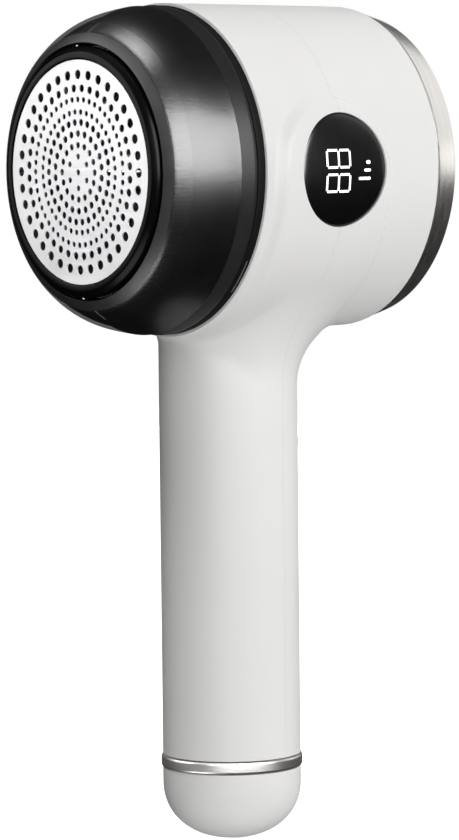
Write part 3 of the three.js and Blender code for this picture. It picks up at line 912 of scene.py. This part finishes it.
seal = turned("bin_lip_seal", [
    (34.45, 17.0, 0.2), (34.95, 17.3, 0.2), (34.75, 18.1, 0.2), (34.75, 18.6, 0.2), (34.95, 19.4, 0.2),
    (34.45, 19.8, 0.2),
], sides=128)
paint(seal, soft_black)
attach(seal, "lint_bin")
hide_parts("bin_seal")


# Handle foot: a bright rolled band, then a domed white cap that snaps in. The cap is open in the middle for
# the charging socket, a pressed steel shell with a black tongue inside.
band = turned("foot_band", [
    (14.6, -143.35, 0.1), (16.85, -143.35, 0.25), (17.0, -142.9, 0.3), (17.0, -141.1, 0.3),
    (16.85, -140.65, 0.25), (14.6, -140.65, 0.1),
], axis="Z", sides=144)
bright_band = finish_for(
    "bright_band", (0.50, 0.485, 0.47), 0.36, metallic=1.0, grain=420, depth=0.03, mottle=0.04, wear=0.06,
    stretch=(1, 1, 12))
paint(band, bright_band)
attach(band, "housing")
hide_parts("handle_trim_ring")
dome_radius, dome_start, dome_depth, dome_fullness = 16.65, -147.0, 14.0, 2.2
dome_outline = []
for k in range(41):
    t = math.sin(math.pi / 2 * (1 - k / 40))
    radius = dome_radius * (1 - t**dome_fullness) ** (1 / dome_fullness)
    dome_outline.append((radius, dome_start - dome_depth * t, 0))
dome = turned("foot_cap", dome_outline + [
    (dome_radius, -143.55, 0.3), (14.3, -143.55, 0.2), (14.3, -140.0, 0.3), (13.0, -140.0, 0.3),
    (13.1, -151.0, 2.0), (11.0, -155.5, 2.0), (5.0, -158.3, 1.0), (0, -158.6, 0),
], axis="Z", sides=144, steps=8)
mouth = new_piece("mouth", [], [])
def shape_mouth(work):
    bmesh.ops.create_cube(work, size=1)
    bmesh.ops.scale(work, vec=(0.0098, 0.0040, 0.012), verts=work.verts[:])
    upright = [e for e in work.edges if abs((e.verts[0].co - e.verts[1].co).z) > 0.005]
    bmesh.ops.bevel(work, geom=upright, offset=0.0018, segments=8, affect="EDGES", profile=0.5)
    bmesh.ops.translate(work, vec=(0, 0, -0.160), verts=work.verts[:])
edit(mouth, shape_mouth)
carve(dome, mouth)
smooth(dome, 35)
paint(dome, white_abs)
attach(dome, "housing")
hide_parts("end_cap")
sock = new_piece("charge_socket", [], [])
def shape_socket(work):
    bmesh.ops.create_cube(work, size=1)
    bmesh.ops.scale(work, vec=(0.0090, 0.0032, 0.0078), verts=work.verts[:])
    upright = [e for e in work.edges if abs((e.verts[0].co - e.verts[1].co).z) > 0.005]
    bmesh.ops.bevel(work, geom=upright, offset=0.0014, segments=8, affect="EDGES", profile=0.5)
    bmesh.ops.translate(work, vec=(0, 0, -0.1564), verts=work.verts[:])
    end = min(work.faces, key=lambda f: f.calc_center_median().z)
    bmesh.ops.inset_region(work, faces=[end], thickness=0.0003)
    pushed = bmesh.ops.extrude_face_region(work, geom=[end])["geom"]
    floor_corners = [g for g in pushed if isinstance(g, bmesh.types.BMVert)]
    bmesh.ops.translate(work, vec=(0, 0, 0.0062), verts=floor_corners)
    bmesh.ops.delete(work, geom=[end], context="FACES")
edit(sock, shape_socket)
smooth(sock, 35)
tongue = new_piece("socket_tongue", [], [])
def shape_tongue(work):
    bmesh.ops.create_cube(work, size=1)
    bmesh.ops.scale(work, vec=(0.0066, 0.0007, 0.0060), verts=work.verts[:])
    bmesh.ops.bevel(work, geom=work.edges[:], offset=0.00015, segments=2, affect="EDGES", profile=0.5)
    bmesh.ops.translate(work, vec=(0, 0, -0.1564), verts=work.verts[:])
edit(tongue, shape_tongue)
smooth(tongue, 35)
paint(sock, bright_screw)
paint(tongue, soft_black)
tongue.parent = sock
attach(sock, "housing")
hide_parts("usb_socket")


# Power button: a small white ABS key on the rear of the grip, dished to find by touch. It sits loose in its
# hole and presses the switch behind it.
key = turned("power_key", [
    (0, 15.2, 0), (1.5, 15.2, 0.2), (1.5, 15.9, 0.1), (5.4, 15.9, 0.2), (5.4, 17.5, 0.6), (4.4, 17.7, 0.6),
    (1.6, 17.25, 0.8), (0, 17.2, 0),
], sides=96, steps=6, start=(0, 0, button_height))
paint(key, white_abs)
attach(key, "power_button")
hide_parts("button_cap")


# Working parts inside the head and the handle: motor, fan, shaft, boards, cell and leads. They keep their
# plain forms, and each has the finish of its own material.
motor_steel = finish_for(
    "motor_steel", (0.56, 0.57, 0.58), 0.32, metallic=1.0, grain=500, depth=0.04, mottle=0.06, wear=0.14)
ferrite = finish_for("ferrite", (0.045, 0.044, 0.043), 0.6, grain=700, depth=0.15, mottle=0.15, wear=0.15)
sintered_bronze = finish_for(
    "sintered_bronze", (0.52, 0.36, 0.17), 0.4, metallic=1.0, grain=1500, depth=0.1, mottle=0.12, wear=0.15)
enamel_copper = finish_for(
    "enamel_copper", (0.45, 0.17, 0.07), 0.3, metallic=0.9, grain=380, depth=0.2, mottle=0.2, wear=0.1,
    stretch=(1, 6, 1))
green_board = finish_for(
    "green_board", (0.02, 0.13, 0.05), 0.35, grain=300, depth=0.08, mottle=0.25, wear=0.1)
cell_wrap = finish_for("cell_wrap", (0.02, 0.10, 0.30), 0.28, grain=500, depth=0.03, mottle=0.05, wear=0.08)
red_lead = finish_for("red_lead", (0.50, 0.02, 0.015), 0.42, grain=800, depth=0.03, mottle=0.05, wear=0.08)
inside_finish = {
    "motor_can": motor_steel, "motor_end_bell": dark_nylon, "front_bearing": sintered_bronze,
    "rear_bearing": sintered_bronze, "motor_magnet_1": ferrite, "motor_magnet_2": ferrite,
    "motor_bracket": grey_nylon, "drive_shaft": ground_steel, "rotor_core": enamel_copper,
    "commutator": sintered_bronze, "impeller": natural_pp, "bin_bay_liner": natural_pp,
    "display_carrier": dark_nylon, "display_board": green_board, "main_board": green_board,
    "battery_cell": cell_wrap, "battery_cradle": natural_pp, "power_switch": dark_nylon,
    "motor_lead_red": red_lead, "motor_lead_black": soft_black,
}
for name, material in inside_finish.items():
    paint(nodes[name], material)
    smooth(nodes[name], 32)
for i, x in enumerate((0.0084, -0.0084)):
    machine_screw(f"motor_screw_{i + 1}_steel", f"motor_screw_{i + 1}", "housing",
                  (x, 0), (-18.0, -17.1), (-17.0, -12.3, 1.0), 0.5, 2.2)


# Studio: a pale floor under the foot of the handle and a plain pale wall far behind.
floor_height = cad_box[0].z
paper = finish_for("paper", (0.80, 0.80, 0.80), 0.9, grain=30, depth=0.0, mottle=0.004, wear=0.02,
                   Emission_Color=(1, 1, 1, 1), Emission_Strength=1.0)
floor_reach = 4
floor = new_piece("floor", [
    (x * floor_reach, y * floor_reach, floor_height) for x, y in ((-1, -1), (1, -1), (1, 1), (-1, 1))
], [(0, 1, 2, 3)])
paint(floor, paper)
wall = new_piece("wall", [], [])
def shape_wall(work):
    bmesh.ops.create_uvsphere(work, u_segments=48, v_segments=24, radius=5.5)
    bmesh.ops.reverse_faces(work, faces=work.faces[:])
edit(wall, shape_wall)
smooth(wall, 60)
pale_wall = finish_for("pale_wall", (0, 0, 0), 1.0, grain=10, depth=0.0, mottle=0.0, wear=0.0,
                       Emission_Color=(1, 1, 1, 1), Emission_Strength=1.0, Specular_IOR_Level=0.0)
paint(wall, pale_wall)
for backdrop in (floor, wall):
    backdrop.visible_glossy = False
    backdrop.visible_diffuse = False
    backdrop.visible_shadow = False

room = bpy.data.worlds.new("room")
room.use_nodes = True
room.node_tree.nodes["Background"].inputs["Color"].default_value = (1, 1, 1, 1)
room.node_tree.nodes["Background"].inputs["Strength"].default_value = 0.012
bpy.context.scene.world = room
middle = Vector((0, 0, -0.05))


def softbox(name, azimuth, elevation, distance, width, height, power, mirrored=False):
    """A rectangular soft light that faces the object: it lights surfaces, or shows only as a reflection."""
    a, e = math.radians(azimuth), math.radians(elevation)
    way = Vector((math.sin(a) * math.cos(e), -math.cos(a) * math.cos(e), math.sin(e)))
    lamp = bpy.data.lights.new(name, "AREA")
    lamp.shape = "RECTANGLE"
    lamp.size, lamp.size_y = width, height
    lamp.energy = power
    box = bpy.data.objects.new(name, lamp)
    box.location = middle + way * distance
    box.rotation_euler = way.to_track_quat("Z", "Y").to_euler()
    box.visible_glossy = mirrored
    box.visible_diffuse = not mirrored
    bpy.context.scene.collection.objects.link(box)
    return box


softbox("soft_right", 98, 20, 0.9, 0.55, 0.95, 1.9)
softbox("soft_top", -33, 67, 0.9, 0.45, 0.3, 3.4)
softbox("soft_rear", 160, 26, 0.9, 0.35, 0.8, 4.0)
softbox("wide_right", 120, 5, 1.2, 1.0, 1.4, 5.4)
softbox("wide_front", 40, 10, 1.2, 1.0, 1.4, 7.5)
softbox("wide_low", 60, -60, 1.2, 1.0, 1.0, 6.7)
softbox("wide_back", 238, 14, 1.2, 1.0, 1.4, 4.5)
softbox("card_right", 70, 21, 0.9, 1.7, 0.72, 56, mirrored=True)
softbox("card_front", -39, 20, 1.0, 0.8, 0.7, 6.2, mirrored=True)
softbox("card_top", -33, 67, 0.9, 0.32, 0.22, 9, mirrored=True)
softbox("card_low", -8, -42, 0.9, 0.6, 0.3, 3.0, mirrored=True)
softbox("card_rear", 176, 24, 0.9, 0.8, 0.8, 2.4, mirrored=True)
softbox("card_streak", 163, 4, 0.9, 0.25, 0.2, 0.15, mirrored=True)


# Camera: a long lens a metre away, a little above the middle of the object, towards the foil and display.
camera_azimuth, camera_elevation, roll = math.radians(51.14), math.radians(4.42), math.radians(-0.61)
camera_distance = 1.0
aim_aside, aim_height = 0.00028, -0.06016
back = Vector((
    math.sin(camera_azimuth) * math.cos(camera_elevation),
    -math.cos(camera_azimuth) * math.cos(camera_elevation),
    math.sin(camera_elevation)))
right = Vector((0, 0, 1)).cross(back).normalized()
up = back.cross(right)
side = right * math.cos(roll) + up * math.sin(roll)
top = up * math.cos(roll) - right * math.sin(roll)
looked_at = right * aim_aside + Vector((0, 0, aim_height))
camera = bpy.data.objects.new("camera", bpy.data.cameras.new("camera"))
camera.data.lens = 178.65
camera.data.sensor_width = 36
camera.data.clip_start, camera.data.clip_end = 0.05, 30
facing = Matrix((side, top, back)).transposed().to_4x4()
camera.matrix_world = Matrix.Translation(looked_at + back * camera_distance) @ facing
bpy.context.scene.collection.objects.link(camera)
bpy.context.scene.camera = camera
bpy.context.scene.view_settings.view_transform = "Standard"
